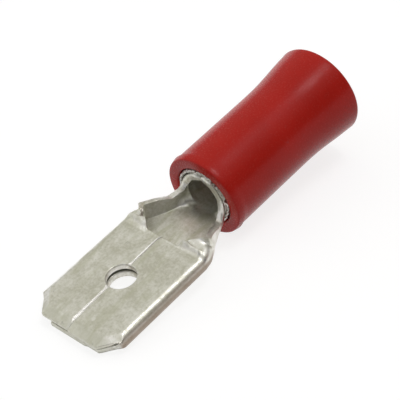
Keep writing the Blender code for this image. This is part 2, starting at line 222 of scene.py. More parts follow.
def tin_material(name, light, dark, stained, smoothest, roughest, metallic):
    # Dull tin plating: cloudy tone, olive stains, fine grain, small dark pits and rolling lines
    mat, nt, shader = new_material(name)
    vec = object_mm(nt)
    along = object_mm(nt, ROLLING)
    cloud = noise_tex(nt, vec, scale=0.75, detail=4.0, rough=0.62, distort=0.5)
    stain = noise_tex(nt, along, scale=1.3, detail=4.0, rough=0.6, distort=0.8)
    grain = noise_tex(nt, vec, scale=6.0, detail=4.0, rough=0.65)
    lines = noise_tex(nt, along, scale=9.0, detail=2.0, rough=0.5)
    pits = noise_tex(nt, vec, scale=3.1, detail=2.0, rough=0.5, distort=0.6)
    tone = weighted(nt, (cloud, 0.6), (grain, 0.4))
    colour = mix_colour(nt, remap(nt, tone, 0.40, 0.60), dark, light)
    colour = mix_colour(nt, remap(nt, stain, 0.50, 0.68, high=0.8), colour, stained)
    # Painted brown reflection on the folds' lower outer sides, and darker tin at the tip
    colour = painted_brown_and_dark_tip(nt, vec, colour)
    pit_colour = tuple(v * PIT_DARKNESS for v in dark)
    colour = mix_colour(nt, remap(nt, pits, 0.70, 0.80, high=PIT_SHARE), colour, pit_colour)
    link(nt, colour, shader.inputs["Base Color"])
    shader.inputs["Metallic"].default_value = metallic
    link(nt, remap(nt, tone, 0.40, 0.60, roughest, smoothest), shader.inputs["Roughness"])
    normal = bump(nt, cloud, strength=0.22, distance=0.12 * MM)
    normal = bump(nt, grain, strength=0.22, distance=0.02 * MM, before=normal)
    normal = bump(nt, lines, strength=0.06, distance=0.02 * MM, before=normal)
    link(nt, normal, shader.inputs["Normal"])
    return mat


RED_DEEP = (0.482, 0.0142, 0.0088)
RED_BRIGHT = (0.534, 0.0166, 0.0104)
RED_SPECK = (0.48, 0.06, 0.05)
VINYL_SPECULAR = 0.18


def red_material():
    # Satin soft vinyl: slight cloudiness, fine pebbling and scattered pale specks
    mat, nt, shader = new_material("satin_red_vinyl")
    vec = object_mm(nt)
    cloud = noise_tex(nt, vec, scale=0.35, detail=3.0, rough=0.5)
    fine = noise_tex(nt, vec, scale=9.0, detail=3.0, rough=0.6)
    speck = noise_tex(nt, vec, scale=5.0, detail=1.0, rough=0.4)
    colour = mix_colour(nt, remap(nt, cloud, 0.35, 0.65), RED_DEEP, RED_BRIGHT)
    colour = mix_colour(nt, remap(nt, speck, 0.70, 0.76, high=0.35), colour, RED_SPECK)
    link(nt, colour, shader.inputs["Base Color"])
    link(nt, remap(nt, fine, 0.35, 0.70, 0.29, 0.21), shader.inputs["Roughness"])
    shader.inputs["Specular IOR Level"].default_value = VINYL_SPECULAR
    link(nt, bump(nt, fine, strength=0.50, distance=0.012 * MM), shader.inputs["Normal"])
    return mat


tin = tin_material("dull_tin_plating", light=(0.93, 0.92, 0.86), dark=(0.64, 0.63, 0.53),
                   stained=(0.60, 0.60, 0.46), smoothest=0.30, roughest=0.44, metallic=0.84)
cut_edge = tin_material("sheared_edge", light=(0.90, 0.89, 0.84), dark=(0.55, 0.53, 0.45),
                        stained=(0.50, 0.45, 0.34), smoothest=0.30, roughest=0.46, metallic=0.78)
# Pale, less metallic tin on the seam's bevel: a painted highlight line along the seam
seam_highlight_tin = tin_material("painted_seam_highlight", light=(0.98, 0.97, 0.93), dark=(0.88, 0.87, 0.82),
                         stained=(0.86, 0.85, 0.78), smoothest=0.42, roughest=0.52, metallic=0.45)
torn_edge = tin_material("torn_tin_edge", light=(0.95, 0.94, 0.89), dark=(0.30, 0.28, 0.24),
                         stained=(0.40, 0.37, 0.31), smoothest=0.32, roughest=0.50, metallic=0.7)
red = red_material()

# Material slots of the terminal
PLAIN = 0
CUT = 1
SEAM_HIGHLIGHT = 2


# The folded sheet: x runs along the part, q across the unfolded sheet, side is 1 left and -1 right
def fold(radius, angle):
    # Length of an arc, with its angle in degrees
    return radius * math.radians(angle)


def clamp(v):
    return min(max(v, 0.0), 1.0)


def smooth(a, b, v):
    t = clamp((v - a) / (b - a))
    return t * t * (3 - 2 * t)


HOOK_RUN = 0.42 * MM
HOOK_DEPTH = 0.14 * MM


def seam_y(x):
    # The seam leans a little, and hooks to the right at the flaps' rear
    t = clamp((x - TIP_X) / (FLAP_REAR_X - TIP_X))
    hook = max(0.0, x - FLAP_REAR_X + 0.30 * MM) / HOOK_RUN
    return SEAM_TIP_Y + (SEAM_REAR_Y - SEAM_TIP_Y) * t - HOOK_DEPTH * hook ** 2


REAR_END_X = FLAP_REAR_X + 0.12 * MM
NECK_FRONT_X = REAR_END_X + 0.01 * MM
LEDGE_END_X = NECK_FRONT_X + 0.28 * MM
MOUTH_FRONT_X = -0.02 * MM
MOUTH_X = 0.08 * MM
NOTCH_HALF = 1.20 * MM
HOLE_STEPS = 64
EDGE_R = 0.05 * MM
MOUTH_TURNS = (34.0, 49.0, 27.0)
SEAM_TURN = 180.0 - math.degrees(SEAM_GAP / 2 / MID_R)

# Half of the sheet at one place: arcs of floor, bend and wall, each a length and a turn in degrees
Half = namedtuple("Half", "height floor floor_turn bend bend_turn wall wall_turn")

# Both halves at one place of the neck
Section = namedtuple("Section", "height floor floor_turn bend bend_turn wall_turn lean left_wall "
                                "right_wall left_floor left_bend left_bend_turn left_wall_turn")

# The neck at shares of its length: width falls from 1, drop rises from 0, and turns are in degrees
Shape = namedtuple("Shape", "share width drop floor_turn bend bend_turn wall_turn flap left right "
                            "left_bend left_bend_turn left_wall_turn")
NECK_SHAPES = [
    Shape(0.000, 1.000, 0.00, 0.0, 1.00, 180.0, 0.0, 1.000, 0.000, 0.000, 1.00, 180.0, 0.0),
    Shape(0.078, 0.985, 0.00, 0.0, 1.22, 180.0, 0.0, 0.834, 0.000, 0.000, 1.15, 180.0, 0.0),
    Shape(0.107, 0.975, 0.00, 0.0, 1.23, 180.0, 0.0, 0.793, 0.000, 0.000, 1.30, 178.0, 0.0),
    Shape(0.159, 0.940, 0.00, 0.0, 1.23, 173.0, 0.0, 0.683, 0.000, 0.000, 1.50, 170.0, 0.0),
    Shape(0.212, 0.875, 0.00, 0.0, 1.23, 164.0, 0.0, 0.250, 0.500, 0.450, 1.58, 150.0, 0.0),
    Shape(0.258, 0.815, 0.00, 0.0, 1.20, 149.0, 0.0, 0.000, 0.850, 0.760, 1.25, 121.0, 0.0),
    Shape(0.301, 0.761, 0.00, 0.0, 1.20, 112.0, 0.0, 0.000, 1.060, 0.930, 0.86, 97.0, 0.0),
    Shape(0.339, 0.698, 0.00, 0.0, 1.20, 100.0, 0.0, 0.000, 1.150, 0.990, 0.72, 86.0, 0.0),
    Shape(0.542, 0.428, 0.02, 0.0, 1.10, 98.0, 0.0, 0.000, 1.090, 0.680, 0.70, 82.0, 0.0),
    Shape(0.701, 0.245, 0.05, 0.0, 1.03, 96.0, 2.0, 0.000, 0.900, 0.290, 0.90, 82.0, 4.0),
    Shape(0.800, 0.160, 0.12, 3.0, 1.12, 90.0, 4.0, 0.000, 0.910, 0.220, 1.60, 84.0, 8.0),
    Shape(0.890, 0.082, 0.30, 8.0, 1.27, 82.0, 8.0, 0.000, 1.020, 0.530, 2.70, 84.0, 12.0),
]
RIGHT_LEAN = 7.0
LEAN_FROM = 0.30
LEFT_LEAD = 0.25 * MM
LEAD_FULL = 0.1
LEAD_END = 0.55
REACH_STEPS = 20


def widest(start, parts):
    # Largest reach of a run of arcs that starts at one angle, in degrees
    y = 0.0
    best = 0.0
    angle = math.radians(start)
    for length, turn in parts:
        half_step = math.radians(turn) / (2 * REACH_STEPS)
        for _ in range(REACH_STEPS):
            angle += half_step
            y += length / REACH_STEPS * math.cos(angle)
            angle += half_step
            best = max(best, y)
    return best


def neck_section(shape):
    # Bends are over the fold's radius, walls over WALL_HEIGHT, and flap over the flat beside the notch
    reach = MID_R + (FOLD_WIDTH - MID_R) * shape.width
    radius = FOLD_R * shape.bend
    left_radius = FOLD_R * shape.left_bend
    tilt = math.radians(shape.floor_turn)
    slant = math.cos(tilt / 2)
    flap = (FLAT - NOTCH_HALF) * shape.flap
    left_wall = flap + WALL_HEIGHT * shape.left + radius - left_radius
    left_bend = fold(left_radius, shape.left_bend_turn)
    left_parts = ((left_bend, shape.left_bend_turn), (left_wall, shape.left_wall_turn))
    return Section(
        height=FLOOR_Z + (-MID_R - FLOOR_Z) * shape.drop,
        floor=(reach - radius * (1 - math.sin(tilt))) / slant,
        floor_turn=shape.floor_turn,
        bend=fold(radius, shape.bend_turn),
        bend_turn=shape.bend_turn,
        wall_turn=shape.wall_turn,
        lean=RIGHT_LEAN if shape.share > LEAN_FROM else 0.0,
        left_wall=left_wall,
        right_wall=flap + WALL_HEIGHT * shape.right,
        left_floor=(reach - widest(shape.floor_turn, left_parts)) / slant,
        left_bend=left_bend,
        left_bend_turn=shape.left_bend_turn,
        left_wall_turn=shape.left_wall_turn,
    )


def round_section(turns):
    # Arcs of the barrel's radius, with the turns of floor, bend and wall
    a, b, c = turns
    floor = fold(MID_R, a)
    bend = fold(MID_R, b)
    wall = fold(MID_R, c)
    return Section(-MID_R, floor, a, bend, b, c, 0.0, wall, wall, floor, bend, b, c)


SECTIONS = [neck_section(shape) for shape in NECK_SHAPES] + [round_section(MOUTH_TURNS)]
SECTION_XS = [NECK_FRONT_X + (MOUTH_FRONT_X - NECK_FRONT_X) * shape.share for shape in NECK_SHAPES]
SECTION_XS.append(MOUTH_FRONT_X)


def slopes(ys):
    # Slopes at the sections for a curve through them that doesn't overshoot
    d = [(ys[i + 1] - ys[i]) / (SECTION_XS[i + 1] - SECTION_XS[i]) for i in range(len(ys) - 1)]
    m = [d[0]]
    for a, b in zip(d, d[1:]):
        m.append(0.0 if a * b <= 0 else 2 * a * b / (a + b))
    return m + [d[-1]]


CURVES = [(ys, slopes(ys)) for ys in zip(*SECTIONS)]


def smooth_section(x):
    i = 0
    while i < len(SECTION_XS) - 2 and x > SECTION_XS[i + 1]:
        i += 1
    h = SECTION_XS[i + 1] - SECTION_XS[i]
    t = (x - SECTION_XS[i]) / h
    values = []
    for ys, m in CURVES:
        a = ys[i] * (2 * t ** 3 - 3 * t ** 2 + 1) + ys[i + 1] * (3 * t ** 2 - 2 * t ** 3)
        b = m[i] * h * (t ** 3 - 2 * t ** 2 + t) + m[i + 1] * h * (t ** 3 - t ** 2)
        values.append(a + b)
    return Section(*values)


FLOOR_Q = FLAT
FOLD_Q = fold(FOLD_R, 180.0)
NECK_Q = FLOOR_Q + FOLD_Q + FLAT - NOTCH_HALF
TAB_HALF = Half(SECTIONS[0].height, SECTIONS[0].floor, 0.0, SECTIONS[0].bend, 180.0, FLAT - NOTCH_HALF, 0.0)
half_cache = {}


def neck_half(x, side):
    here = smooth_section(x)
    if side < 0:
        return Half(here.height, here.floor, here.floor_turn, here.bend, here.bend_turn - here.lean,
                    here.right_wall, here.wall_turn)
    share = (x - NECK_FRONT_X) / (MOUTH_FRONT_X - NECK_FRONT_X)
    lead = LEFT_LEAD * min(share / LEAD_FULL, 1.0) * max(0.0, 1.0 - share / LEAD_END)
    ahead = smooth_section(x + lead)
    return Half(here.height, ahead.left_floor, ahead.floor_turn, ahead.left_bend, ahead.left_bend_turn,
                ahead.left_wall, ahead.left_wall_turn)


def barrel_half(x):
    # The wall closes to the seam between the two mouth planes, and stays closed behind them
    t = min((x - MOUTH_FRONT_X) / (MOUTH_X - MOUTH_FRONT_X), 1.0)
    total = sum(MOUTH_TURNS)
    scale = (total + (SEAM_TURN - total) * t) / total
    row = round_section([turn * scale for turn in MOUTH_TURNS])
    return Half(row.height, row.floor, row.floor_turn, row.bend, row.bend_turn, row.left_wall, row.wall_turn)


def half_at(x, side):
    key = (round(x, 9), side)
    if key not in half_cache:
        if x <= NECK_FRONT_X:
            half_cache[key] = TAB_HALF
        elif x <= MOUTH_FRONT_X:
            half_cache[key] = neck_half(x, side)
        else:
            half_cache[key] = barrel_half(x)
    return half_cache[key]


def sheet_point(x, q):
    # Point of the sheet's middle surface and the outward direction there
    side = 1.0 if q >= 0 else -1.0
    q = abs(q)
    half = half_at(x, side)
    arcs = (
        (min(q / FLOOR_Q, 1.0), half.floor, half.floor_turn),
        (clamp((q - FLOOR_Q) / FOLD_Q), half.bend, half.bend_turn),
        (max((q - FLOOR_Q - FOLD_Q) / (FLAT - NOTCH_HALF), 0.0), half.wall, half.wall_turn),
    )
    y = 0.0
    z = half.height
    angle = 0.0
    for share, length, turn in arcs:
        t = math.radians(turn)
        if abs(t) < 1e-6:
            y += length * share * math.cos(angle)
            z += length * share * math.sin(angle)
        else:
            r = length / t
            y += r * (math.sin(angle + t * share) - math.sin(angle))
            z += r * (math.cos(angle) - math.cos(angle + t * share))
            angle += t * share
    return Vector((x, side * y, z)), Vector((0.0, side * math.sin(angle), -math.cos(angle)))


# Tip of the sheet: corners as run along the part and rise across it, and the floor's tongue
LEFT_CORNER = (1.40 * MM, 1.15 * MM)
RIGHT_CORNER = (1.28 * MM, 1.00 * MM)
FLOOR_CORNER = (1.36 * MM, 1.10 * MM)
RIGHT_FLAP_TIP_X = TIP_X - 0.05 * MM
LEFT_FLOOR_TIP_X = TIP_X + 0.35 * MM
RIGHT_FLOOR_TIP_X = TIP_X + 0.10 * MM
TONGUE_TIP_X = TIP_X + 0.03 * MM
TONGUE_RIGHT_Y = -1.08 * MM
TONGUE_LEFT_Y = 1.48 * MM
TONGUE_RIGHT_EASE = 0.14 * MM
TONGUE_LEFT_EASE = 0.12 * MM


def chamfer(front, y, corner):
    run, rise = corner
    return front + max(0.0, y - (HALF - rise)) * run / rise


def tip_x(q):
    # Front end of the sheet: the flaps, or the floor with its tongue
    side = 1.0 if q >= 0 else -1.0
    a = abs(q)
    if a < FLOOR_Q:
        y = a
    elif a < FLOOR_Q + FOLD_Q:
        y = FLOOR_Q + FOLD_R * math.sin((a - FLOOR_Q) / FOLD_R)
    else:
        y = FLAT - (a - FLOOR_Q - FOLD_Q)
    if a > FLOOR_Q + FOLD_Q / 2:
        if side > 0:
            return chamfer(TIP_X, y, LEFT_CORNER)
        return chamfer(RIGHT_FLAP_TIP_X, y, RIGHT_CORNER)
    if side > 0:
        x = chamfer(LEFT_FLOOR_TIP_X, y, LEFT_CORNER)
    else:
        x = chamfer(RIGHT_FLOOR_TIP_X, y, FLOOR_CORNER)
    from_right = clamp((side * y - TONGUE_RIGHT_Y) / TONGUE_RIGHT_EASE + 1.0)
    from_left = clamp((TONGUE_LEFT_Y - side * y) / TONGUE_LEFT_EASE + 1.0)
    return x + (TONGUE_TIP_X - x) * (from_right * from_left)


def free_q(x, side):
    # Free edge of a flap, measured across the unfolded sheet
    if side > 0:
        return FLOOR_Q + FOLD_Q + FLAT - seam_y(x) - SEAM_GAP / 2
    return FLOOR_Q + FOLD_Q + FLAT + seam_y(x) - SEAM_GAP / 2


def steps(a, b, size):
    # Even steps from a towards b, without b itself
    n = max(1, int(math.ceil(abs(b - a) / size)))
    return [a + (b - a) * i / n for i in range(n)]


FLAP_STEP = 0.08 * MM


def hole_front(side):
    # Where a flap's free edge meets the hole, found by halving
    low = HOLE_X - 1.3 * HOLE_R
    high = HOLE_X
    for _ in range(40):
        mid = (low + high) / 2
        y = seam_y(mid) + side * SEAM_GAP / 2
        if (mid - HOLE_X) ** 2 + y ** 2 < HOLE_R ** 2:
            high = mid
        else:
            low = mid
    return low


def flap_edge(side):
    # Points (x, q) from the tip to the rear along one flap's free edge, round the hole
    front = hole_front(side)
    back = 2 * HOLE_X - front
    start = tip_x(side * free_q(TIP_X, side))
    pts = [(x, side * free_q(x, side)) for x in steps(start, front, FLAP_STEP)]
    a0 = math.atan2(side * seam_y(front) + SEAM_GAP / 2, front - HOLE_X)
    a1 = math.atan2(side * seam_y(back) + SEAM_GAP / 2, back - HOLE_X)
    if a0 < 0:
        a0 += 2 * math.pi
    n = HOLE_STEPS // 2
    for i in range(n + 1):
        a = a0 + (a1 - a0) * i / n
        q = FLOOR_Q + FOLD_Q + FLAT - HOLE_R * math.sin(a)
        pts.append((HOLE_X + HOLE_R * math.cos(a), side * q))
    after = HOLE_X + HOLE_R * math.cos(a1) + 0.05 * MM
    pts += [(x, side * free_q(x, side)) for x in steps(after, REAR_END_X, FLAP_STEP)]
    pts.append((REAR_END_X, side * free_q(REAR_END_X, side)))
    return pts


# A notch's root is its distance from the middle line, its end is where the wall is whole again
Notch = namedtuple("Notch", "root end power")
NOTCHES = {
    1.0: Notch(root=2.00 * MM, end=-2.50 * MM, power=1.3),
    -1.0: Notch(root=2.60 * MM, end=-3.06 * MM, power=1.0),
}
SLIT_X = NECK_FRONT_X + 0.27 * MM
SLIT_WIDTH = 0.035 * MM
NOTCH_STEP = 0.06 * MM
NOTCH_POINTS = 22
NOTCH_CURVE = 1.8


def neck_edge(side):
    # Points (x, q) from the flap's rear edge to the barrel's end, round the slit and the notch
    notch = NOTCHES[side]
    depth = FLOOR_Q + FOLD_Q + FLAT - notch.root
    root_x = SLIT_X + SLIT_WIDTH
    slit_end = side * (depth - 0.5 * SLIT_WIDTH)
    pts = [(REAR_END_X, side * NECK_Q)]
    pts += [(x, side * NECK_Q) for x in steps(REAR_END_X + 0.05 * MM, SLIT_X, NOTCH_STEP)]
    pts += [(SLIT_X, side * q) for q in steps(NECK_Q, depth, NOTCH_STEP)]
    pts.append((SLIT_X + 0.1 * SLIT_WIDTH, slit_end))
    pts.append((root_x - 0.1 * SLIT_WIDTH, slit_end))
    for i in range(NOTCH_POINTS):
        t = i / NOTCH_POINTS
        x = root_x + (notch.end - root_x) * t ** notch.power
        pts.append((x, side * (depth + (NECK_Q - depth) * (1 - (1 - t) ** NOTCH_CURVE))))
    pts += [(x, side * NECK_Q) for x in steps(notch.end, MOUTH_X, 0.05 * MM)]
    pts += [(x, side * NECK_Q) for x in steps(MOUTH_X, BARREL_LENGTH, 0.30 * MM)]
    pts.append((BARREL_LENGTH, side * NECK_Q))
    return pts


def side_edge(side):
    # One side of the outline, from the tip to the barrel's end
    pts = flap_edge(side)
    rear = steps(free_q(REAR_END_X, side), NECK_Q, FLAP_STEP)[1:]
    pts += [(REAR_END_X, side * q) for q in rear]
    return pts + neck_edge(side)


def outline():
    loop = side_edge(-1.0)
    loop += [(BARREL_LENGTH, q) for q in steps(-NECK_Q, NECK_Q, 0.12 * MM)[1:]]
    loop += side_edge(1.0)[::-1]
    tip = steps(free_q(TIP_X, 1.0), -free_q(TIP_X, -1.0), 0.05 * MM)[1:]
    return loop + [(tip_x(q), q) for q in tip]


def inset(loop, distance, sign):
    # Points beside a closed line, at one distance on its inner side
    pts = []
    n = len(loop)
    for i in range(n):
        x0, q0 = loop[i - 1]
        x1, q1 = loop[i]
        x2, q2 = loop[(i + 1) % n]
        l1 = math.hypot(x1 - x0, q1 - q0)
        l2 = math.hypot(x2 - x1, q2 - q1)
        nx = -((q1 - q0) / l1 + (q2 - q1) / l2) * sign
        nq = ((x1 - x0) / l1 + (x2 - x1) / l2) * sign
        size = math.hypot(nx, nq)
        if size > 0.3:
            grow = min(2 / size, 1.5)
            pts.append((x1 + nx / size * distance * grow, q1 + nq / size * distance * grow))
    return pts


def inside(poly, x, q):
    hit = False
    j = len(poly) - 1
    for i in range(len(poly)):
        xi, qi = poly[i]
        xj, qj = poly[j]
        if (qi > q) != (qj > q) and x < (xj - xi) * (q - qi) / (qj - qi) + xi:
            hit = not hit
        j = i
    return hit


class Spacing:
    # Keeps points of the sheet apart, with cells a little larger than the largest distance asked for
    cell = 0.12 * MM

    def __init__(self, points=()):
        self.cells = {}
        for x, q in points:
            self.add(x, q)

    def add(self, x, q):
        self.cells.setdefault((int(x // self.cell), int(q // self.cell)), []).append((x, q))

    def free(self, x, q, gap):
        i = int(x // self.cell)
        j = int(q // self.cell)
        for a in (i - 1, i, i + 1):
            for b in (j - 1, j, j + 1):
                for px, pq in self.cells.get((a, b), ()):
                    if (px - x) ** 2 + (pq - q) ** 2 < gap ** 2:
                        return False
        return True


# Width of the worn strip beside the seam, bevelled down and given a pale painted highlight
GROOVE_AT_TIP = 0.19 * MM
GROOVE_NARROWING = 0.10 * MM
GROOVE_FLARE = 0.09 * MM
GROOVE_FLARE_REACH = 0.28 * MM


def groove_width(x):
    t = (x - TIP_X) / (FLAP_REAR_X - TIP_X)
    flare = max(0.0, 1.0 - abs(abs(x - HOLE_X) - HOLE_R) / GROOVE_FLARE_REACH)
    return GROOVE_AT_TIP - GROOVE_NARROWING * t + GROOVE_FLARE * flare


def edge_rows(border, hole):
    # Two fine rows beside every cut edge, each point with its distance from the edge
    turns = zip(border, border[1:] + border[:1])
    area = sum(x0 * q1 - x1 * q0 for (x0, q0), (x1, q1) in turns)
    rows = []
    for share in (0.3, 1.0):
        d = EDGE_R * share
        near_points = inset(border, d, 1.0 if area > 0 else -1.0) + inset(hole, d, -1.0)
        rows += [(x, q, d) for x, q in near_points]
    return rows


def crossings(loop, x):
    found = []
    for (x0, q0), (x1, q1) in zip(loop, loop[1:] + loop[:1]):
        if (x0 > x) != (x1 > x):
            found.append(q0 + (x - x0) * (q1 - q0) / (x1 - x0))
    return sorted(found)


def grid_points(border):
    # Grid inside the outline, finer at the tip, over the folds and along the neck
    xs = steps(TIP_X - 0.05 * MM, TIP_X + 1.0 * MM, 0.05 * MM)
    xs += steps(TIP_X + 1.0 * MM, REAR_END_X - 0.4 * MM, 0.12 * MM)
    xs += steps(REAR_END_X - 0.4 * MM, MOUTH_X, 0.045 * MM)
    xs += steps(MOUTH_X, BARREL_LENGTH, 0.25 * MM)
    qs = steps(0.0, FLOOR_Q, 0.10 * MM)
    qs += steps(FLOOR_Q, FLOOR_Q + FOLD_Q, FOLD_Q / 20)
    qs += steps(FLOOR_Q + FOLD_Q, FLOOR_Q + FOLD_Q + FLAT + 0.3 * MM, 0.09 * MM)
    qs = [-q for q in qs[:0:-1]] + qs
    found = []
    for x in xs:
        cuts = crossings(border, x)
        spans = list(zip(cuts[::2], cuts[1::2]))
        for q in qs:
            in_hole = (x - HOLE_X) ** 2 + q ** 2 < (HOLE_R + EDGE_R) ** 2
            if not in_hole and any(a < q < b for a, b in spans):
                found.append((x, q))
    return found


def groove_points():
    # Rows along the worn strip, level with the points of the left flap's free edge
    found = []
    for share in (0.7, 1.0):
        for x, edge_q in flap_edge(1.0)[2:-1]:
            if abs(edge_q - free_q(x, 1.0)) < 1e-9:
                found.append((x, free_q(x, 1.0) - share * groove_width(x)))
    return found


def sheet_points(border, hole):
    # Points (x, q, distance from the cut edge up to EDGE_R) of the unfolded sheet, the edges first
    rim = Spacing(border + hole)
    placed = Spacing()
    points = [(x, q, 0.0) for x, q in border + hole]
    for x, q, d in edge_rows(border, hole):
        if rim.free(x, q, 0.8 * d) and placed.free(x, q, 0.012 * MM):
            points.append((x, q, d))
            placed.add(x, q)
    for x, q in grid_points(border):
        if rim.free(x, q, EDGE_R + 0.02 * MM) and placed.free(x, q, 0.02 * MM):
            points.append((x, q, EDGE_R))
    for x, q in groove_points():
        if placed.free(x, q, 0.006 * MM):
            points.append((x, q, EDGE_R))
    return points


def sheet_mesh():
    # Points and triangles of the unfolded sheet
    border = outline()
    turn = [2 * math.pi * i / HOLE_STEPS for i in range(HOLE_STEPS)]
    hole = [(HOLE_X + HOLE_R * math.cos(a), HOLE_R * math.sin(a)) for a in turn]
    points = sheet_points(border, hole)
    n = len(border)
    edges = [(i, (i + 1) % n) for i in range(n)]
    edges += [(n + i, n + (i + 1) % HOLE_STEPS) for i in range(HOLE_STEPS)]
    flat = [Vector((x * 1000, q * 1000)) for x, q, _ in points]
    verts, _, faces, origin, _, _ = delaunay_2d_cdt(flat, edges, [], 0, 1e-7)
    keep = []
    for f in faces:
        cx = sum(verts[i].x for i in f) / 3000
        cq = sum(verts[i].y for i in f) / 3000
        if (cx - HOLE_X) ** 2 + cq ** 2 > (HOLE_R * 0.999) ** 2 and inside(border, cx, cq):
            keep.append(f)
    out = []
    for v, source in zip(verts, origin):
        out.append((v.x / 1000, v.y / 1000, points[source[0]][2] if source else EDGE_R))
    return out, keep


# Wear and unevenness of the sheet
SEAM_WEAR = 0.45
LEDGE_RISE = 0.42
LEDGE_FACET_RISE = 0.25
LEDGE_MIDDLE_SHARE = 0.6
LEDGE_SKEW = 0.10 * MM
SWAY = 0.006 * MM
SWAY_SCALE = 450
STRUCK_LENGTH = 2.2 * MM
STRUCK_DEPTH = 0.17 * MM
STRUCK_STEP = 0.015 * MM
UNDER_DEPTH = 0.13 * MM
BEVEL = 0.55 * MM
BEVEL_WAVE = 0.30 * MM
WALL_THINNING = 0.14 * MM


def wear_seam(x, q, outer):
    depth = groove_width(x) - (free_q(x, 1.0) - q)
    if x < REAR_END_X and q > FLOOR_Q + FOLD_Q and depth > 0:
        outer.z -= SEAM_WEAR * depth


def ledge_lift(x, q, outer):
    # Raised corners behind the flaps, steeper in a facet beside the notch
    if abs(q) <= FLOOR_Q + FOLD_Q or x >= LEDGE_END_X:
        return 0.0
    y = abs(outer.y)
    crease = FLAP_REAR_X - 0.02 * MM
    if q > 0:
        crease -= LEDGE_SKEW * min(y / NOTCH_HALF, 1.0)
    facet = smooth(NOTCH_HALF + 0.75 * MM, NOTCH_HALF + 0.25 * MM, y)
    lift = max(0.0, x - crease) * (LEDGE_RISE + LEDGE_FACET_RISE * facet)
    lift *= smooth(HALF - 0.15 * MM, HALF - 0.5 * MM, y)
    if y < NOTCH_HALF:
        lift *= LEDGE_MIDDLE_SHARE
    return lift


def sway(x, side, outer):
    if x < REAR_END_X:
        unevenness = SWAY * noise.noise(Vector((x * SWAY_SCALE, outer.y * SWAY_SCALE, 5.0 + side)))
        if outer.z > FLOOR_Z:
            outer.z += unevenness - SWAY
        else:
            outer.z -= unevenness


def strike_tip(x, side, outer):
    # Bevels of the tip: an uneven one on top and a plain one below
    if x >= TIP_X + STRUCK_LENGTH:
        return
    corner = LEFT_CORNER if side > 0 else RIGHT_CORNER
    back = x - chamfer(TIP_X, abs(outer.y), corner)
    wave = noise.noise(Vector((outer.y * 620, 1.7 + side, 0.0)))
    wave += 0.4 * noise.noise(Vector((outer.y * 1900, 4.1, 0.0)))
    t = back / (BEVEL + BEVEL_WAVE * wave)
    if t < 1.0:
        outer.z = min(outer.z, TAB_TOP_Z - STRUCK_STEP - STRUCK_DEPTH * min(1.0 - t, 1.2))
    t = back / BEVEL
    if t < 1.0:
        outer.z = max(outer.z, UNDER_Z + UNDER_DEPTH * min(1.0 - t, 1.2))


def sheet_sides(x, q, depth):
    # Outer and inner point of the sheet, with rounded cut edges, wear and unevenness
    p, n = sheet_point(x, q)
    side = 1.0 if q > 0 else -1.0
    half = SHEET / 2 - (EDGE_R - math.sqrt(max(EDGE_R ** 2 - (EDGE_R - depth) ** 2, 0.0)))
    top_edge = smooth(NECK_Q - 0.4 * MM, NECK_Q, abs(q))
    thin = WALL_THINNING * top_edge * smooth(-1.0 * MM, -0.2 * MM, x)
    outer = p + n * (half - thin)
    inner = p - n * half
    wear_seam(x, q, outer)
    lift = ledge_lift(x, q, outer)
    outer.z += lift
    inner.z += lift
    sway(x, side, outer)
    strike_tip(x, side, outer)
    return outer, inner


# Faces on the seam's bevelled strip, which get the painted highlight
def in_seam_highlight(corners):
    for x, q, _ in corners:
        if x >= REAR_END_X or free_q(x, 1.0) - q >= 1.01 * groove_width(x):
            return False
    return True


def finish_piece(bm, name, materials):
    # Object of the finished mesh, shaded smooth, at the origin
    bmesh.ops.recalc_face_normals(bm, faces=bm.faces)
    for face in bm.faces:
        face.smooth = True
    mesh = bpy.data.meshes.new(name)
    bm.to_mesh(mesh)
    bm.free()
    obj = bpy.data.objects.new(name, mesh)
    scene.collection.objects.link(obj)
    for mat in materials:
        mesh.materials.append(mat)
    return obj


def build_sheet():
    points, faces = sheet_mesh()
    used = sorted({i for f in faces for i in f})
    index = {v: k for k, v in enumerate(used)}
    bm = bmesh.new()
    outer = []
    inner = []
    for v in used:
        o, i = sheet_sides(*points[v])
        outer.append(bm.verts.new(POSE @ o))
        inner.append(bm.verts.new(POSE @ i))
    half_edges = set()
    for f in faces:
        a, b, c = (index[i] for i in f)
        corners = [points[i] for i in f]
        top = bm.faces.new((outer[a], outer[b], outer[c]))
        under = bm.faces.new((inner[c], inner[b], inner[a]))
        if min(depth for _, _, depth in corners) < 0.01 * MM:
            top.material_index = CUT
            under.material_index = CUT
        elif in_seam_highlight(corners):
            top.material_index = SEAM_HIGHLIGHT
        half_edges.update(((a, b), (b, c), (c, a)))
    for a, b in [e for e in half_edges if (e[1], e[0]) not in half_edges]:
        rim = bm.faces.new((outer[b], outer[a], inner[a], inner[b]))
        rim.material_index = CUT
    return finish_piece(bm, "folded_terminal", (tin, cut_edge, seam_highlight_tin))


def turned(name, profile, count, mat, wobble):
    # Closed ring of revolution from (position, radius) pairs, in the resting pose
    bm = bmesh.new()
    rings = []
    for k in range(count):
        a = 2 * math.pi * k / count
        ring = []
        for point in profile:
            x, r = wobble(*point, a)
            ring.append(bm.verts.new(POSE @ Vector((x, r * math.sin(a), r * math.cos(a)))))
        rings.append(ring)
    n = len(profile)
    for a, b in zip(rings, rings[1:] + rings[:1]):
        for i in range(n):
            j = (i + 1) % n
            bm.faces.new((a[i], a[j], b[j], b[i]))
    return finish_piece(bm, name, (mat,))


def arc(cx, cr, r, start, end, n):
    angles = [math.radians(start + (end - start) * i / n) for i in range(n + 1)]
    return [(cx + r * math.cos(a), cr + r * math.sin(a)) for a in angles]


# The sleeve: rounded ends, and a flare given as (share of the length, share of the swell)
FRONT_ROUND = 0.09 * MM
REAR_ROUND = 0.16 * MM
SLEEVE_ROWS = 40
SLEEVE_SIDES = 160
FLARE = [(0.0, 0.0), (0.40, 0.0), (0.55, 0.01), (0.64, 0.03), (0.70, 0.09), (0.76, 0.23),
         (0.82, 0.43), (0.88, 0.65), (0.94, 0.83), (1.0, 0.98)]
FLARE_BLUR = (-0.03, -0.015, 0.0, 0.015, 0.03)
BORE_STEP_X = BARREL_LENGTH + 0.25 * MM


